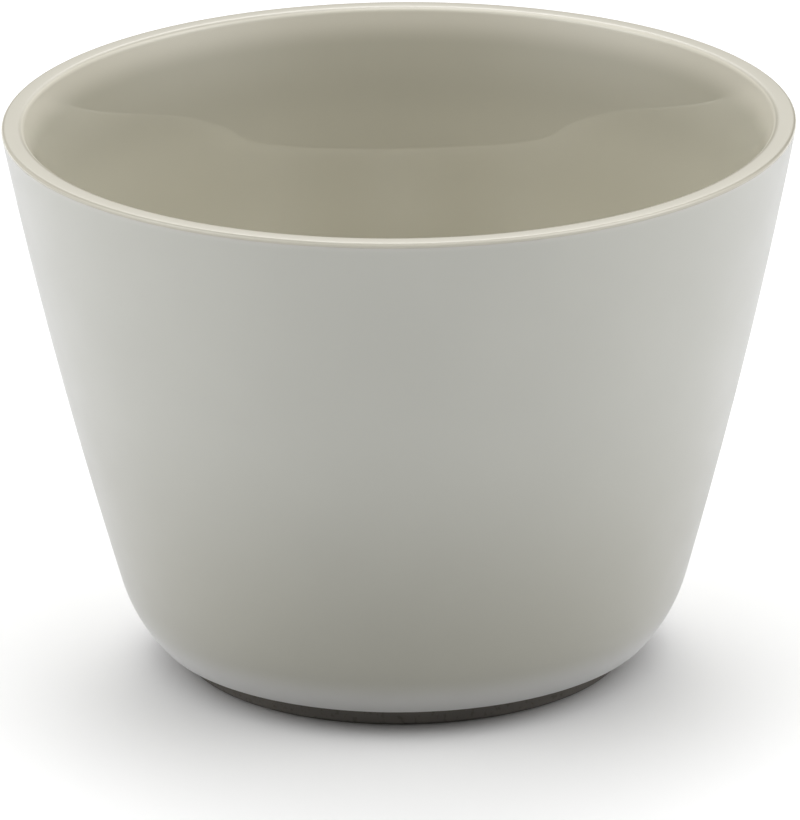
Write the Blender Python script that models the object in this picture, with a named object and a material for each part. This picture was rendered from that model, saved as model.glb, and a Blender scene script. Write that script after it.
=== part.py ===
"""Handleless cappuccino cup: one turned clay body with its separate glaze coats.

Metres, +Z up. The origin is the centre of the foot ring's standing face. Every piece is turned about Z from a
profile in the XZ plane. Sizes are those of the finished, glazed cup, and the clay is set in under its coats.
"""
import math

import bmesh
import bpy
from mathutils import Vector

MM = 0.001

# Rim and lip: a flat top with a small outer edge and a softer inner one
RIM_RADIUS = 45.0 * MM
HEIGHT = 63.9 * MM
LIP_THICKNESS = 2.7 * MM
LIP_OUTER_ROUND = 0.45 * MM
LIP_INNER_ROUND = 0.9 * MM
LIP_LEAST_ROUND = 0.05 * MM

# Wall: slightly bowed outside, and straight inside up to a flare that thins it towards the lip
OUTER_BOW_RADIUS = 620.0 * MM
FLARE_RADIUS = 72.0 * MM
FLARE_TURN = math.radians(9.5)
WALL_AT_FLOOR = 5.1 * MM

# Heel: the curve that tucks the outer wall in towards the foot, ending on a crisp edge
HEEL_RADIUS = 17.5 * MM
HEEL_EDGE_RADIUS = 28.6 * MM
HEEL_EDGE_HEIGHT = 2.8 * MM
HEEL_EDGE_LEAN = math.radians(42.6)

# Inside floor
FLOOR_THICKNESS = 4.2 * MM
CORNER_RADIUS = 12.0 * MM

# Foot ring, set back under the heel, and the shallow well inside it
FOOT_SETBACK = 3.0 * MM
UNDERCUT_DROP = 0.3 * MM
FOOT_WIDTH = 3.4 * MM
FOOT_BEVEL = 0.5 * MM
WELL_DEPTH = 3.0 * MM
WELL_FILLET = 1.5 * MM
FILLET_SHARE = 0.7

# Glaze coats, and the hairline left between a coat and what it lies on
COAT = 0.35 * MM
SEAM = 0.1 * MM

# Facets
TURN_STEPS = 48
LIP_STEPS = 3
FLARE_STEPS = 3
WALL_STEPS = 4
HEEL_STEPS = 3
CORNER_STEPS = 5
FILLET_STEPS = 3
SHARP_ANGLE = math.radians(40.0)
MERGE_DISTANCE = 0.001 * MM

# Finishes: linear colour, roughness
CLAY = ((0.24, 0.205, 0.175), 0.85)
LINER = ((0.50, 0.48, 0.39), 0.05)
OUTER = ((0.63, 0.63, 0.575), 0.38)
WELL = ((0.60, 0.595, 0.555), 0.38)

UP = math.pi / 2
CLAY_INSET = COAT + SEAM


def arc(centre, radius, start, end, steps):
    """Points (r, z) on a circular arc, both ends included."""
    angles = [start + (end - start) * i / steps for i in range(steps + 1)]
    return [Vector((centre.x + radius * math.cos(a), centre.y + radius * math.sin(a))) for a in angles]


def meet(first, first_radius, second, second_radius):
    """The meeting point of two circles that lies nearer the axis."""
    along = second - first
    reach = along.length
    along.normalize()
    across = Vector((-along.y, along.x))
    foot = (reach ** 2 + first_radius ** 2 - second_radius ** 2) / (2 * reach)
    rise = math.sqrt(first_radius ** 2 - foot ** 2)
    ends = [first + along * foot + across * side * rise for side in (1, -1)]
    return min(ends, key=lambda point: point.x)


def heading(start, end):
    """Angle of the line from one point to another."""
    return math.atan2(end.y - start.y, end.x - start.x)


def lip_round(edge, inset):
    """Radius of one of the lip's edges on a face set in. Half the lip's thickness limits it."""
    return max(min(edge, LIP_THICKNESS / 2) - inset, LIP_LEAST_ROUND)


def outer_circles(inset):
    """Centres of the lip edge, wall and heel arcs on the outside, and the angles where they join."""
    radius = lip_round(LIP_OUTER_ROUND, inset)
    lip = Vector((RIM_RADIUS - inset - radius, HEIGHT - inset - radius))
    lean_in = Vector((math.cos(HEEL_EDGE_LEAN), -math.sin(HEEL_EDGE_LEAN)))
    heel = Vector((HEEL_EDGE_RADIUS, HEEL_EDGE_HEIGHT)) - HEEL_RADIUS * lean_in
    wall_radius = OUTER_BOW_RADIUS - inset
    wall = meet(lip, wall_radius - radius, heel, wall_radius - (HEEL_RADIUS - inset))
    return lip, wall, heel, heading(wall, lip), heading(wall, heel)


def outer_lip(inset):
    """The lip's outer edge, from its top to where the wall starts."""
    lip, _, _, wall_top, _ = outer_circles(inset)
    return arc(lip, lip_round(LIP_OUTER_ROUND, inset), UP, wall_top, LIP_STEPS)


def outer_wall(inset, start_gap=0.0):
    """The outside from the lip's edge down to the heel's crisp edge."""
    _, wall, heel, wall_top, wall_foot = outer_circles(inset)
    start = wall_top - start_gap / OUTER_BOW_RADIUS
    points = arc(wall, OUTER_BOW_RADIUS - inset, start, wall_foot, WALL_STEPS)
    return points + arc(heel, HEEL_RADIUS - inset, wall_foot, -HEEL_EDGE_LEAN, HEEL_STEPS)[1:]


def outer_place(height):
    """Radius of the finished outside at a height, and how far the wall leans there."""
    _, wall, heel, _, wall_foot = outer_circles(0.0)
    heel_top = heel.y + HEEL_RADIUS * math.sin(wall_foot)
    centre, radius = (wall, OUTER_BOW_RADIUS) if height > heel_top else (heel, HEEL_RADIUS)
    lean = math.asin((height - centre.y) / radius)
    return centre.x + radius * math.cos(lean), lean


def inner_face(inset):
    """The inside from the lip's top, down the flare and the straight wall, round the corner to the floor's middle."""
    lip_radius = lip_round(LIP_INNER_ROUND, inset)
    lip = Vector((RIM_RADIUS - LIP_THICKNESS + inset + lip_radius, HEIGHT - inset - lip_radius))
    floor = WELL_DEPTH + FLOOR_THICKNESS
    corner_height = floor + CORNER_RADIUS
    outside, outer_lean = outer_place(corner_height)
    corner = Vector((outside - (WALL_AT_FLOOR + CORNER_RADIUS) / math.cos(outer_lean), corner_height))
    corner_radius = CORNER_RADIUS + inset
    flare_radius = FLARE_RADIUS - inset
    set_out = flare_radius + corner_radius - (flare_radius - lip_radius) * math.cos(FLARE_TURN)
    lean = math.acos(set_out / (lip - corner).length) - heading(corner, lip)
    top_lean = lean + FLARE_TURN
    flare = lip + (flare_radius - lip_radius) * Vector((math.cos(top_lean), -math.sin(top_lean)))
    points = arc(lip, lip_radius, UP, math.pi - top_lean, LIP_STEPS)
    points += arc(flare, flare_radius, math.pi - top_lean, math.pi - lean, FLARE_STEPS)[1:]
    points += arc(corner, corner_radius, -lean, -UP, CORNER_STEPS)
    return points + [Vector((0.0, floor - inset))]


def foot_ring():
    """The bare foot, from the undercut below the heel down to the standing face and up inside."""
    outside = HEEL_EDGE_RADIUS - FOOT_SETBACK
    inside = outside - FOOT_WIDTH
    return [
        Vector((outside, HEEL_EDGE_HEIGHT - UNDERCUT_DROP)),
        Vector((outside, FOOT_BEVEL)),
        Vector((outside - FOOT_BEVEL, 0.0)),
        Vector((inside + FOOT_BEVEL, 0.0)),
        Vector((inside, FOOT_BEVEL)),
    ]


def well_face(inset):
    """The ceiling of the foot's well, from the foot ring's inner wall to the middle. The inset goes up into the clay."""
    ceiling = WELL_DEPTH + inset
    clay_ceiling = WELL_DEPTH + CLAY_INSET
    fillet = min(WELL_FILLET, (clay_ceiling - FOOT_BEVEL) * FILLET_SHARE)
    ring = HEEL_EDGE_RADIUS - FOOT_SETBACK - FOOT_WIDTH
    centre = Vector((ring - fillet, clay_ceiling - fillet))
    radius = fillet - (CLAY_INSET - inset)
    return arc(centre, radius, 0.0, UP, FILLET_STEPS) + [Vector((0.0, ceiling))]


def finish(name, look):
    """A plain Principled material."""
    colour, roughness = look
    material = bpy.data.materials.new(name)
    material.use_nodes = True
    shader = material.node_tree.nodes["Principled BSDF"]
    shader.inputs["Base Color"].default_value = (*colour, 1.0)
    shader.inputs["Roughness"].default_value = roughness
    shader.inputs["Metallic"].default_value = 0.0
    return material


def turned(name, profile, look, closed):
    """A solid of revolution from points (r, z): a closed loop, or a line that starts and ends on the axis."""
    mesh = bpy.data.meshes.new(name)
    form = bmesh.new()
    points = [form.verts.new((point.x, 0.0, point.y)) for point in profile]
    pairs = list(zip(points, points[1:]))
    if closed:
        pairs.append((points[-1], points[0]))
    edges = [form.edges.new(pair) for pair in pairs]
    bmesh.ops.spin(form, geom=points + edges, cent=(0, 0, 0), axis=(0, 0, 1), angle=2 * math.pi,
                   steps=TURN_STEPS, use_merge=True)
    bmesh.ops.remove_doubles(form, verts=form.verts, dist=MERGE_DISTANCE)
    bmesh.ops.recalc_face_normals(form, faces=form.faces)
    form.to_mesh(mesh)
    form.free()
    mesh.shade_smooth()
    mesh.set_sharp_from_angle(angle=SHARP_ANGLE)
    mesh.materials.append(finish(name, look))
    piece = bpy.data.objects.new(name, mesh)
    bpy.context.scene.collection.objects.link(piece)
    return piece


def clay_body():
    """Wall, floor and foot ring of fired clay, set in under the coats."""
    inside = inner_face(CLAY_INSET)[::-1]
    outside = outer_lip(CLAY_INSET) + outer_wall(CLAY_INSET)[1:]
    turned("clay_body", inside + outside + foot_ring() + well_face(CLAY_INSET), CLAY, closed=False)


def liner_glaze():
    """Gloss coat over the floor and the inside wall, carried over the lip to its outer edge."""
    face = inner_face(0.0)[::-1] + outer_lip(0.0)
    back = outer_lip(COAT)[::-1] + inner_face(COAT)
    turned("liner_glaze", face + back, LINER, closed=False)


def outer_glaze():
    """Satin coat over the outside wall and heel, down to the heel's crisp edge."""
    face = outer_wall(0.0, SEAM)
    back = outer_wall(COAT, SEAM)[::-1]
    turned("outer_glaze", face + back, OUTER, closed=True)


def foot_well_glaze():
    """Coat over the well's ceiling and the fillet that joins it to the foot ring."""
    face = well_face(0.0)[::-1]
    back = well_face(COAT)
    turned("foot_well_glaze", face + back, WELL, closed=False)


def main():
    for old in list(bpy.data.objects):
        bpy.data.objects.remove(old, do_unlink=True)
    clay_body()
    liner_glaze()
    outer_glaze()
    foot_well_glaze()


main()
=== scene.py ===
"""Looks of the handleless cappuccino cup, in metres and +Z up, in the frame of its solids.

Each solid gets a fine turned surface in its place: the same arcs with many more points, soft ends on
the glaze coats and the slight waviness of a fired pot. Then come the glaze and clay finishes, the camera
and a plain white studio.
"""
import math

import bmesh
import bpy
import numpy as np
from mathutils import Matrix, Vector


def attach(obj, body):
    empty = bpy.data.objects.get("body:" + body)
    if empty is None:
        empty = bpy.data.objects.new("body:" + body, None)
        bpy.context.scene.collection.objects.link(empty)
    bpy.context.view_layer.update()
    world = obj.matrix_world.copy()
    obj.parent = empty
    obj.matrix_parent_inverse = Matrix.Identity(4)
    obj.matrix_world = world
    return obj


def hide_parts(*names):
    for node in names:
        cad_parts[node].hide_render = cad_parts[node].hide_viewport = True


MM = 0.001

# Cup, the same driving sizes as the solids
RIM_RADIUS = 45.0 * MM
HEIGHT = 63.9 * MM
LIP_THICKNESS = 2.7 * MM
LIP_OUTER_ROUND = 0.45 * MM
LIP_INNER_ROUND = 0.9 * MM
LIP_LEAST_ROUND = 0.05 * MM
OUTER_BOW_RADIUS = 620.0 * MM
FLARE_RADIUS = 72.0 * MM
FLARE_TURN = math.radians(9.5)
WALL_AT_FLOOR = 5.1 * MM
HEEL_RADIUS = 17.5 * MM
HEEL_EDGE_RADIUS = 28.6 * MM
HEEL_EDGE_HEIGHT = 2.8 * MM
HEEL_EDGE_LEAN = math.radians(42.6)
FLOOR_THICKNESS = 4.2 * MM
CORNER_RADIUS = 12.0 * MM
FOOT_SETBACK = 3.0 * MM
UNDERCUT_DROP = 0.3 * MM
FOOT_WIDTH = 3.4 * MM
FOOT_BEVEL = 0.5 * MM
WELL_DEPTH = 3.0 * MM
WELL_FILLET = 1.5 * MM

# Coats: the fired seam is a hairline here, and each satin coat ends in a soft nose
COAT = 0.43 * MM
SEAM = 0.02 * MM
CLAY_INSET = COAT + SEAM

# Surface steps
TURN_STEPS = 300
LIP_STEPS = 14
FLARE_STEPS = 24
WALL_STEPS = 60
HEEL_STEPS = 28
CORNER_STEPS = 36
FLAT_STEPS = 14
NOSE_STEPS = 8
SHARP_ANGLE = math.radians(50.0)
MERGE_DISTANCE = 0.0005 * MM

# Firing: how far out of round the rim is, as a share of its radius, how far it rises and dips, and the
# number of waves that each makes round it
OVALITY = 0.0012
OVAL_TURN = 0.7
OVAL_WAVES = 2
RIM_LIFT = 0.04 * MM
LIFT_WAVES = 3

# Turning rings: the faint waves that the shaping tool leaves down the inside wall. One of them starts at
# the depth under the rim
RING_HEIGHT = 0.03 * MM
RING_SPACING = 10.0 * MM
RING_DEPTH = 13.2 * MM

UP = math.pi / 2


def arc(centre, radius, start, end, steps):
    """Points (r, z) on a circular arc, both ends included."""
    angles = np.linspace(start, end, steps + 1)
    return [Vector((centre.x + radius * math.cos(a), centre.y + radius * math.sin(a))) for a in angles]


def meet(first, first_radius, second, second_radius):
    """The meeting point of two circles that lies nearer the axis."""
    along = second - first
    reach = along.length
    along.normalize()
    across = Vector((-along.y, along.x))
    foot = (reach ** 2 + first_radius ** 2 - second_radius ** 2) / (2 * reach)
    rise = math.sqrt(first_radius ** 2 - foot ** 2)
    ends = [first + along * foot + across * side * rise for side in (1, -1)]
    return min(ends, key=lambda point: point.x)


def heading(start, end):
    """Angle of the line from one point to another."""
    return math.atan2(end.y - start.y, end.x - start.x)


def run(start, end, steps):
    """Points on a straight stretch, both ends included."""
    return [start.lerp(end, i / steps) for i in range(steps + 1)]


def lip_round(edge, inset):
    """Radius of one of the lip's edges on a face set in."""
    return max(edge - inset, LIP_LEAST_ROUND)


def outer_circles(inset):
    """Centres of the lip edge, wall and heel arcs on the outside, and the angles where they join."""
    radius = lip_round(LIP_OUTER_ROUND, inset)
    lip = Vector((RIM_RADIUS - inset - radius, HEIGHT - inset - radius))
    lean_in = Vector((math.cos(HEEL_EDGE_LEAN), -math.sin(HEEL_EDGE_LEAN)))
    heel = Vector((HEEL_EDGE_RADIUS, HEEL_EDGE_HEIGHT)) - HEEL_RADIUS * lean_in
    wall_radius = OUTER_BOW_RADIUS - inset
    wall = meet(lip, wall_radius - radius, heel, wall_radius - (HEEL_RADIUS - inset))
    return lip, wall, heel, heading(wall, lip), heading(wall, heel)


def outer_lip(inset):
    """The lip's outer edge, from its top to where the wall starts."""
    lip, _, _, wall_top, _ = outer_circles(inset)
    return arc(lip, lip_round(LIP_OUTER_ROUND, inset), UP, wall_top, LIP_STEPS)


def outer_wall(inset, start_gap=0.0):
    """The outside from the lip's edge down to the heel's edge."""
    _, wall, heel, wall_top, wall_foot = outer_circles(inset)
    start = wall_top - start_gap / OUTER_BOW_RADIUS
    points = arc(wall, OUTER_BOW_RADIUS - inset, start, wall_foot, WALL_STEPS)
    return points + arc(heel, HEEL_RADIUS - inset, wall_foot, -HEEL_EDGE_LEAN, HEEL_STEPS)[1:]


def outer_place(height):
    """Radius of the finished outside at a height on the wall, and how far it leans there."""
    _, wall, _, _, _ = outer_circles(0.0)
    lean = math.asin((height - wall.y) / OUTER_BOW_RADIUS)
    return wall.x + OUTER_BOW_RADIUS * math.cos(lean), lean


def inner_face(inset):
    """The inside: lip edge, flare, straight wall and rounded corner, as far as the floor's middle."""
    lip_radius = lip_round(LIP_INNER_ROUND, inset)
    lip = Vector((RIM_RADIUS - LIP_THICKNESS + inset + lip_radius, HEIGHT - inset - lip_radius))
    floor = WELL_DEPTH + FLOOR_THICKNESS
    corner_height = floor + CORNER_RADIUS
    outside, outer_lean = outer_place(corner_height)
    corner = Vector((outside - (WALL_AT_FLOOR + CORNER_RADIUS) / math.cos(outer_lean), corner_height))
    corner_radius = CORNER_RADIUS + inset
    flare_radius = FLARE_RADIUS - inset
    set_out = flare_radius + corner_radius - (flare_radius - lip_radius) * math.cos(FLARE_TURN)
    lean = math.acos(set_out / (lip - corner).length) - heading(corner, lip)
    top_lean = lean + FLARE_TURN
    flare = lip + (flare_radius - lip_radius) * Vector((math.cos(top_lean), -math.sin(top_lean)))
    lip_edge = arc(lip, lip_radius, UP, math.pi - top_lean, LIP_STEPS)
    flared = arc(flare, flare_radius, math.pi - top_lean, math.pi - lean, FLARE_STEPS)
    rounded = arc(corner, corner_radius, -lean, -UP, CORNER_STEPS)
    wall = run(flared[-1], rounded[0], WALL_STEPS)
    bottom = run(rounded[-1], Vector((0.0, floor - inset)), FLAT_STEPS)
    return lip_edge + flared[1:] + wall[1:] + rounded[1:] + bottom[1:]


def ringed(points):
    """Points of the inside wall with its turning rings, which fade out towards the lip and the floor."""
    bottom = WELL_DEPTH + FLOOR_THICKNESS + CORNER_RADIUS
    waved = []
    for point in points:
        depth = HEIGHT - point.y
        fade = min(depth / RING_SPACING, (point.y - bottom) / RING_SPACING, 1.0)
        wave = math.sin(2 * math.pi * (depth - RING_DEPTH) / RING_SPACING)
        waved.append(Vector((point.x - RING_HEIGHT * max(fade, 0.0) * wave, point.y)))
    return waved


def nose(start, end, side):
    """A half round across a coat's end, bulging to the left of the way along (1) or the right (-1)."""
    centre = (start + end) / 2
    reach = (end - start).length / 2
    first = heading(centre, start)
    return arc(centre, reach, first, first - side * math.pi, NOSE_STEPS)[1:-1]


def foot_ring():
    """The bare foot with rounded edges, from the undercut down to the standing face and up inside."""
    outside = HEEL_EDGE_RADIUS - FOOT_SETBACK
    inside = outside - FOOT_WIDTH
    under = Vector((outside, HEEL_EDGE_HEIGHT - UNDERCUT_DROP))
    outer_edge = Vector((outside - FOOT_BEVEL, FOOT_BEVEL))
    inner_edge = Vector((inside + FOOT_BEVEL, FOOT_BEVEL))
    points = run(under, Vector((outside, FOOT_BEVEL)), NOSE_STEPS)
    points += arc(outer_edge, FOOT_BEVEL, 0.0, -UP, NOSE_STEPS)[1:]
    points += run(points[-1], Vector((inner_edge.x, 0.0)), FLAT_STEPS)[1:]
    return points + arc(inner_edge, FOOT_BEVEL, -UP, -math.pi, NOSE_STEPS)[1:]


def well_face(inset):
    """The ceiling of the foot's well, from the foot ring's inner wall to the middle."""
    ring = HEEL_EDGE_RADIUS - FOOT_SETBACK - FOOT_WIDTH
    centre = Vector((ring - WELL_FILLET, WELL_DEPTH + CLAY_INSET - WELL_FILLET))
    points = arc(centre, WELL_FILLET - (CLAY_INSET - inset), 0.0, UP, LIP_STEPS)
    return points + run(points[-1], Vector((0.0, WELL_DEPTH + inset)), FLAT_STEPS)[1:]


def fired(radii, heights, turn):
    """Points round each ring (r, z), slightly oval and lifted towards the rim by drying and firing."""
    radii = np.outer(radii, np.ones(len(turn)))
    heights = np.outer(heights, np.ones(len(turn)))
    share = (heights / HEIGHT) ** 2
    radii = radii * (1 + OVALITY * share * np.cos(OVAL_WAVES * turn + OVAL_TURN))
    heights = heights + RIM_LIFT * share * np.cos(LIFT_WAVES * turn)
    return np.stack([radii * np.cos(turn), radii * np.sin(turn), heights], axis=-1)


def turned(name, profile, material, closed):
    """A solid of revolution from points (r, z): a closed loop, or a line from axis to axis."""
    turn = np.linspace(0.0, 2 * math.pi, TURN_STEPS, endpoint=False)
    rings = fired([point.x for point in profile], [point.y for point in profile], turn)
    count = len(profile)
    faces = []
    for i in range(count if closed else count - 1):
        low = i * TURN_STEPS
        high = (i + 1) % count * TURN_STEPS
        for j in range(TURN_STEPS):
            k = (j + 1) % TURN_STEPS
            faces.append((low + j, low + k, high + k, high + j))
    mesh = bpy.data.meshes.new(name)
    mesh.from_pydata(rings.reshape(-1, 3).tolist(), [], faces)
    form = bmesh.new()
    form.from_mesh(mesh)
    bmesh.ops.remove_doubles(form, verts=form.verts, dist=MERGE_DISTANCE)
    bmesh.ops.recalc_face_normals(form, faces=form.faces)
    form.to_mesh(mesh)
    form.free()
    mesh.shade_smooth()
    mesh.set_sharp_from_angle(angle=SHARP_ANGLE)
    mesh.materials.append(material)
    piece = bpy.data.objects.new(name, mesh)
    bpy.context.scene.collection.objects.link(piece)
    return piece


# Colours, linear: the gloss glaze from the lip down, the satin glaze and the bare clay
# Painted shade: the lip's top is darker than the gloss glaze, holding back the strong light from above
LIP_TOP_SHADE_CREAM = (0.414, 0.391, 0.32)
# Painted highlight: a pale cream band just inside the lip stands in for the glint on its inner edge,
# which the gloss mirrors lower down
LIP_GLINT_CREAM = (0.68, 0.65, 0.555)
# Painted shade: the upper inside wall, a few millimetres under the lip, is darker against the light from
# the sides
UPPER_SHADE_OLIVE = (0.487, 0.467, 0.384)
INSIDE_OLIVE = (0.515, 0.493, 0.404)
POOL_OLIVE = (0.44, 0.42, 0.335)
STONE = (0.648, 0.649, 0.59)
# Painted light: a paler, warmer band at the top of the satin coat lifts the dark line just under the
# lip's outer edge
STONE_UNDER_LIP_LIGHT = (0.70, 0.69, 0.64)
# Painted shade: darker low down, where the shadowed floor sends back less light
STONE_LOW_SHADE = (0.497, 0.487, 0.413)
# Painted light: paler at the heel, standing in for light sent back by the floor
STONE_HEEL_LIGHT = (0.66, 0.655, 0.625)
# The bare clay's dark tone is partly its own and partly painted shade for the gap under the heel
BISQUE_AND_SHADE = (0.26, 0.24, 0.215)
BISQUE_DARK = (0.205, 0.188, 0.166)

# Where a colour starts and where it is full, as depths under the rim
LIP_TOP_SHADE_START = 0.22 * MM
LIP_TOP_SHADE_FULL = 0.04 * MM
LIP_GLINT_START = 4.0 * MM
LIP_GLINT_FULL = 0.9 * MM
UPPER_SHADE_START = 13.0 * MM
UPPER_SHADE_FULL = 8.0 * MM
UNDER_LIP_LIGHT_START = 1.2 * MM
UNDER_LIP_LIGHT_FULL = 0.45 * MM

# The same, as heights above the foot's face
POOL_START = 20.0 * MM
POOL_FULL = 7.0 * MM
LOW_SHADE_START = 42.0 * MM
LOW_SHADE_FULL = 7.0 * MM
HEEL_LIGHT_START = 7.8 * MM
HEEL_LIGHT_FULL = 4.0 * MM

# Noise: scales per metre, detail, and the parts of its range that are used
CLOUD_SCALE = 45.0
RIPPLE_SCALE = 160.0
GRAIN_SCALE = 1700.0
SOFT_DETAIL = 2.0
FINE_DETAIL = 4.0
NOISE_LOW = 0.3
NOISE_HIGH = 0.7
SPECK_LOW = 0.56
SPECK_HIGH = 0.66

# Variation of a colour, as a share of it, and depth of relief
LINER_CLOUD = 0.015
STONE_CLOUD = 0.015
CLAY_CLOUD = 0.05
LINER_RIPPLE = 0.003 * MM
STONE_RIPPLE = 0.004 * MM
STONE_GRAIN = 0.002 * MM
CLAY_GRAIN = 0.03 * MM

# Gloss: ranges of roughness, what the lip adds to it and at which depths under the rim, the index of
# refraction of the gloss glaze, and the pale bloom of the satin glaze where it is seen at a slant
LINER_ROUGHNESS = (0.012, 0.03)
STONE_ROUGHNESS = (0.33, 0.42)
CLAY_ROUGHNESS = (0.78, 0.9)
LIP_ROUGHER = 0.18
LIP_ROUGH_START = 5.0 * MM
LIP_ROUGH_FULL = 1.6 * MM
LINER_IOR = 1.58
STONE_BLOOM = 0.9
STONE_BLOOM_SPREAD = 0.5


class Finish:
    """A Principled material whose sockets are fed by a small tree of nodes."""

    def __init__(self, name):
        self.material = bpy.data.materials.new(name)
        self.material.use_nodes = True
        self.tree = self.material.node_tree
        self.shader = self.tree.nodes["Principled BSDF"]
        self.place = self.tree.nodes.new("ShaderNodeTexCoord").outputs["Object"]
        split = self.tree.nodes.new("ShaderNodeSeparateXYZ")
        self.tree.links.new(self.place, split.inputs["Vector"])
        self.height = split.outputs["Z"]

    def ramp(self, value, low, high, start=0.0, end=1.0):
        """A value that goes smoothly from start to end as another goes from low to high."""
        node = self.tree.nodes.new("ShaderNodeMapRange")
        node.interpolation_type = "SMOOTHSTEP"
        numbers = {"From Min": low, "From Max": high, "To Min": start, "To Max": end}
        for socket, number in numbers.items():
            node.inputs[socket].default_value = number
        self.tree.links.new(value, node.inputs["Value"])
        return node.outputs["Result"]

    def noise(self, scale, detail=SOFT_DETAIL):
        """Soft noise about 0.5."""
        node = self.tree.nodes.new("ShaderNodeTexNoise")
        node.inputs["Scale"].default_value = scale
        node.inputs["Detail"].default_value = detail
        self.tree.links.new(self.place, node.inputs["Vector"])
        return node.outputs["Fac"]

    def blend(self, share, first, second):
        """A mix of two colours, each a plain colour or a socket."""
        node = self.tree.nodes.new("ShaderNodeMix")
        node.data_type = "RGBA"
        self.tree.links.new(share, node.inputs["Factor"])
        for socket, colour in (("A", first), ("B", second)):
            if isinstance(colour, tuple):
                node.inputs[socket].default_value = (*colour, 1.0)
            else:
                self.tree.links.new(colour, node.inputs[socket])
        return node.outputs["Result"]

    def spread(self, value, low, high):
        """A noise's useful range, spread from low to high."""
        return self.ramp(value, NOISE_LOW, NOISE_HIGH, low, high)

    def cloud(self, colour, scale, depth):
        """A colour made softly lighter and darker, here and there."""
        node = self.tree.nodes.new("ShaderNodeHueSaturation")
        self.tree.links.new(self.spread(self.noise(scale), 1 - depth, 1 + depth), node.inputs["Value"])
        self.tree.links.new(colour, node.inputs["Color"])
        return node.outputs["Color"]

    def relief(self, layers):
        """Bump from (height, depth in metres) layers, one on another."""
        normal = None
        for value, depth in layers:
            node = self.tree.nodes.new("ShaderNodeBump")
            node.inputs["Distance"].default_value = depth
            self.tree.links.new(value, node.inputs["Height"])
            if normal:
                self.tree.links.new(normal, node.inputs["Normal"])
            normal = node.outputs["Normal"]
        self.tree.links.new(normal, self.shader.inputs["Normal"])

    def add(self, first, second):
        """The sum of two values."""
        node = self.tree.nodes.new("ShaderNodeMath")
        node.operation = "ADD"
        self.tree.links.new(first, node.inputs[0])
        self.tree.links.new(second, node.inputs[1])
        return node.outputs["Value"]

    def wear(self, colour, roughness, rougher=None):
        """Feeds the colour and a roughness that varies within its range, and adds what is rougher."""
        rough = self.spread(self.noise(RIPPLE_SCALE), *roughness)
        if rougher:
            rough = self.add(rough, rougher)
        self.tree.links.new(colour, self.shader.inputs["Base Color"])
        self.tree.links.new(rough, self.shader.inputs["Roughness"])
        return self.material


def gloss_liner_finish():
    """Gloss glaze: olive inside, cream and less sharp towards the lip, pooled deeper round the floor.
    Near the lip it holds painted shade and a painted highlight.
    """
    look = Finish("gloss_liner")
    # Painted shade: the upper inside wall is darker
    upper_shade = look.ramp(look.height, HEIGHT - UPPER_SHADE_START, HEIGHT - UPPER_SHADE_FULL)
    # Painted highlight: the cream band just under the lip
    flare = look.ramp(look.height, HEIGHT - LIP_GLINT_START, HEIGHT - LIP_GLINT_FULL)
    # Painted shade: the lip's top is darker
    lip = look.ramp(look.height, HEIGHT - LIP_TOP_SHADE_START, HEIGHT - LIP_TOP_SHADE_FULL)
    pool = look.ramp(look.height, POOL_START, POOL_FULL)
    colour = look.blend(upper_shade, INSIDE_OLIVE, UPPER_SHADE_OLIVE)
    colour = look.blend(flare, colour, LIP_GLINT_CREAM)
    colour = look.blend(lip, colour, LIP_TOP_SHADE_CREAM)
    colour = look.blend(pool, colour, POOL_OLIVE)
    look.relief(((look.noise(RIPPLE_SCALE), LINER_RIPPLE),))
    look.shader.inputs["IOR"].default_value = LINER_IOR
    rough_from = HEIGHT - LIP_ROUGH_START
    rough_to = HEIGHT - LIP_ROUGH_FULL
    rougher = look.ramp(look.height, rough_from, rough_to, 0.0, LIP_ROUGHER)
    return look.wear(look.cloud(colour, CLOUD_SCALE, LINER_CLOUD), LINER_ROUGHNESS, rougher)


def satin_finish(name):
    """Satin glaze: stone grey, with painted light in a paler, warmer band under the lip, painted shade
    low down and, at the heel, painted light as sent back by the floor.
    """
    look = Finish(name)
    # Painted light: the paler band under the lip
    under_lip_light = look.ramp(look.height, HEIGHT - UNDER_LIP_LIGHT_START, HEIGHT - UNDER_LIP_LIGHT_FULL)
    # Painted shade: darker low down
    low_shade = look.ramp(look.height, LOW_SHADE_START, LOW_SHADE_FULL)
    # Painted light: paler at the heel, as if lit from the floor
    heel_light = look.ramp(look.height, HEEL_LIGHT_START, HEEL_LIGHT_FULL)
    colour = look.blend(under_lip_light, STONE, STONE_UNDER_LIP_LIGHT)
    colour = look.blend(low_shade, colour, STONE_LOW_SHADE)
    colour = look.blend(heel_light, colour, STONE_HEEL_LIGHT)
    look.relief(((look.noise(RIPPLE_SCALE), STONE_RIPPLE), (look.noise(GRAIN_SCALE), STONE_GRAIN)))
    look.shader.inputs["Sheen Weight"].default_value = STONE_BLOOM
    look.shader.inputs["Sheen Roughness"].default_value = STONE_BLOOM_SPREAD
    return look.wear(look.cloud(colour, CLOUD_SCALE, STONE_CLOUD), STONE_ROUGHNESS)


def bisque_finish():
    """Bare fired clay: matt, finely grained, with darker specks of grog, and dark partly as painted
    shade.
    """
    look = Finish("bisque")
    grain = look.noise(GRAIN_SCALE, FINE_DETAIL)
    colour = look.blend(look.ramp(grain, SPECK_LOW, SPECK_HIGH), BISQUE_AND_SHADE, BISQUE_DARK)
    look.relief(((grain, CLAY_GRAIN),))
    return look.wear(look.cloud(colour, RIPPLE_SCALE, CLAY_CLOUD), CLAY_ROUGHNESS)


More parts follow.
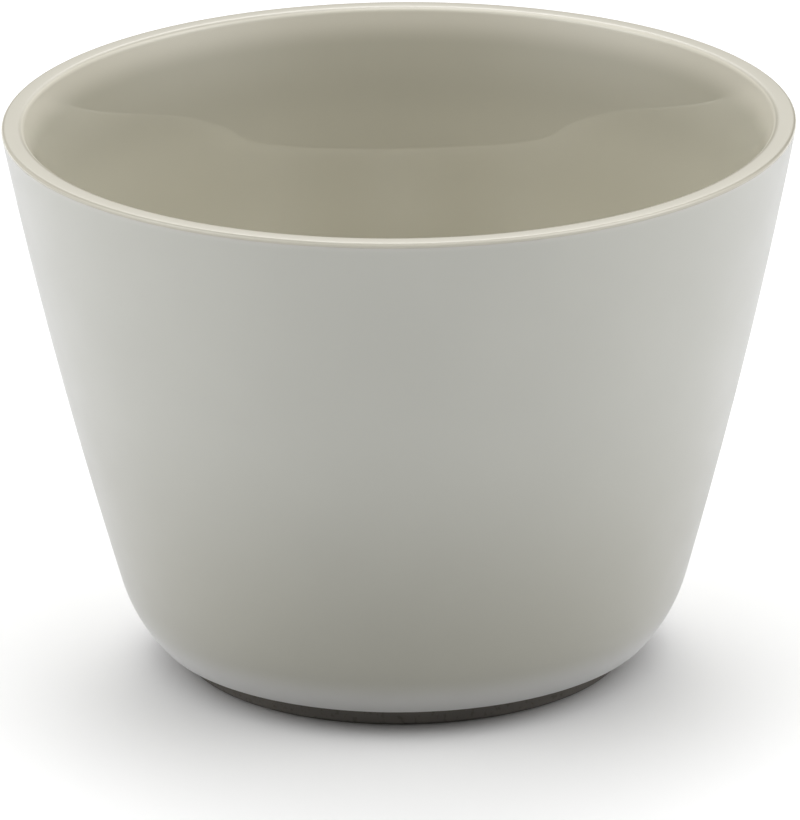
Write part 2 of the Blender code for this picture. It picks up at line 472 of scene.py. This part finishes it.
def build_cup():
    """The four pieces of the cup, each in the place of its solid."""
    inside = inner_face(CLAY_INSET)[::-1]
    outside = outer_lip(CLAY_INSET) + outer_wall(CLAY_INSET)[1:]
    under = run(outside[-1], foot_ring()[0], NOSE_STEPS)[1:-1]
    profile = inside + outside + under + foot_ring() + well_face(CLAY_INSET)
    body = turned("cup_body", profile, bisque_finish(), closed=False)

    profile = ringed(inner_face(0.0))[::-1] + outer_lip(0.0) + outer_lip(COAT)[::-1] + inner_face(COAT)
    lining = turned("gloss_liner", profile, gloss_liner_finish(), closed=False)

    face = outer_wall(0.0, SEAM)
    back = outer_wall(COAT, SEAM)[::-1]
    profile = face + nose(face[-1], back[0], 1) + back
    coat = turned("satin_coat", profile, satin_finish("satin_coat"), closed=True)

    face = well_face(0.0)[::-1]
    back = well_face(COAT)
    profile = face + nose(face[-1], back[0], -1) + back
    well = turned("well_coat", profile, satin_finish("well_coat"), closed=False)

    places = (
        (body, "clay_body", "clay"),
        (lining, "liner_glaze", "liner_glaze"),
        (coat, "outer_glaze", "outer_glaze"),
        (well, "foot_well_glaze", "well_glaze"),
    )
    for piece, node, slot in places:
        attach(piece, "root")
        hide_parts(node)


# Camera, at the photograph's angle
CAMERA_DISTANCE = 1102.5 * MM
CAMERA_ELEVATION = math.radians(19.31)
CAMERA_ROLL = 0.0119
LENS = 423.2
SENSOR = 36.0
TARGET = Vector((0.0, 0.0, 33.35 * MM))
AIM_LEFT = 0.24 * MM
AIM_DROP = 4.32 * MM


def build_camera():
    """A long lens from the front, a little above the rim, with the photograph's slight roll."""
    back = Vector((0.0, -math.cos(CAMERA_ELEVATION), math.sin(CAMERA_ELEVATION)))
    up = Vector((0.0, math.sin(CAMERA_ELEVATION), math.cos(CAMERA_ELEVATION)))
    place = TARGET + back * CAMERA_DISTANCE
    aim = TARGET - Vector((AIM_LEFT, 0.0, 0.0)) - up * AIM_DROP
    lens = bpy.data.cameras.new("camera")
    lens.lens = LENS
    lens.sensor_width = SENSOR
    camera = bpy.data.objects.new("camera", lens)
    look = (aim - place).to_track_quat("-Z", "Y").to_matrix().to_4x4()
    camera.matrix_world = Matrix.Translation(place) @ look @ Matrix.Rotation(-CAMERA_ROLL, 4, "Z")
    bpy.context.scene.collection.objects.link(camera)
    bpy.context.scene.camera = camera


# Floor: white where it is seen, straight or mirrored in the gloss, and greyer in the light it sends on
FLOOR_HALF = 3.0
FLOOR_SEEN = (0.9, 0.9, 0.9)
FLOOR_BOUNCE = (0.58, 0.58, 0.58)


def build_floor():
    """A wide white floor that keeps the cup's shadow."""
    half = FLOOR_HALF
    mesh = bpy.data.meshes.new("floor")
    corners = [(-half, -half, 0.0), (half, -half, 0.0), (half, half, 0.0), (-half, half, 0.0)]
    mesh.from_pydata(corners, [], [(0, 1, 2, 3)])
    look = Finish("floor")
    ray = look.tree.nodes.new("ShaderNodeLightPath")
    seen = ray.outputs["Is Camera Ray"]
    for kind in ("Is Glossy Ray", "Is Transmission Ray"):
        either = look.tree.nodes.new("ShaderNodeMath")
        either.operation = "MAXIMUM"
        look.tree.links.new(seen, either.inputs[0])
        look.tree.links.new(ray.outputs[kind], either.inputs[1])
        seen = either.outputs["Value"]
    look.tree.links.new(look.blend(seen, FLOOR_BOUNCE, FLOOR_SEEN), look.shader.inputs["Base Color"])
    look.shader.inputs["Specular IOR Level"].default_value = 0.0
    mesh.materials.append(look.material)
    floor = bpy.data.objects.new("floor", mesh)
    bpy.context.scene.collection.objects.link(floor)


# Light: lobes of soft white light round a dome that is dark in front, where the camera stands. Each has
# the side it comes from, right and left alike (0 is behind the cup, 90 is beside it), its height, both
# in degrees, and its strength
LOBE_SHARPNESS = 16.0
LOBES = {
    "overhead": (0.0, 90.0, 2.6),
    "behind_high": (0.0, 64.0, 2.75),
    "behind": (0.0, 42.0, 4.9),
    "sides": (90.0, 42.0, 3.9),
    "front_quarters": (120.0, 42.0, 2.0),
}


def toward(side, height):
    """Direction towards a place on the dome."""
    side = math.radians(side)
    height = math.radians(height)
    return (math.sin(side) * math.cos(height), math.cos(side) * math.cos(height), math.sin(height))


def add_lobe(tree, place, direction, strength, total):
    """One lobe of light from a direction, on top of the total so far."""
    new = tree.nodes.new
    link = tree.links.new
    facing = new("ShaderNodeVectorMath")
    facing.operation = "DOT_PRODUCT"
    facing.inputs[1].default_value = direction
    link(place, facing.inputs[0])
    front = new("ShaderNodeMath")
    front.operation = "MAXIMUM"
    front.inputs[1].default_value = 0.0
    link(facing.outputs["Value"], front.inputs[0])
    lobe = new("ShaderNodeMath")
    lobe.operation = "POWER"
    lobe.inputs[1].default_value = LOBE_SHARPNESS
    link(front.outputs["Value"], lobe.inputs[0])
    gain = new("ShaderNodeMath")
    gain.operation = "MULTIPLY_ADD"
    gain.inputs[1].default_value = strength
    gain.inputs[2].default_value = 0.0
    link(lobe.outputs["Value"], gain.inputs[0])
    if total:
        link(total, gain.inputs[2])
    return gain.outputs["Value"]


def build_light(lobes):
    """The studio's dome, as the sum of its lobes. A lobe in the middle counts once."""
    world = bpy.data.worlds.new("studio")
    bpy.context.scene.world = world
    world.use_nodes = True
    tree = world.node_tree
    tree.nodes.clear()
    place = tree.nodes.new("ShaderNodeTexCoord").outputs["Generated"]
    total = None
    for side, height, strength in lobes.values():
        for turn in dict.fromkeys((side, -side)):
            total = add_lobe(tree, place, toward(turn, height), strength, total)
    dome = tree.nodes.new("ShaderNodeBackground")
    tree.links.new(total, dome.inputs["Strength"])
    out = tree.nodes.new("ShaderNodeOutputWorld")
    tree.links.new(dome.outputs["Background"], out.inputs["Surface"])


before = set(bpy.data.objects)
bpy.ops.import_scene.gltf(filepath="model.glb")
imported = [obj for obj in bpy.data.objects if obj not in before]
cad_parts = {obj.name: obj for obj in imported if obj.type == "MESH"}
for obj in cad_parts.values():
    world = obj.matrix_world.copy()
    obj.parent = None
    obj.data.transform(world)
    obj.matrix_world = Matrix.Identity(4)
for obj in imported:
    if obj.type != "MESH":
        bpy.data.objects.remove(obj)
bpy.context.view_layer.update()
build_cup()
build_camera()
build_floor()
build_light(LOBES)
bpy.context.scene.view_settings.view_transform = "Standard"
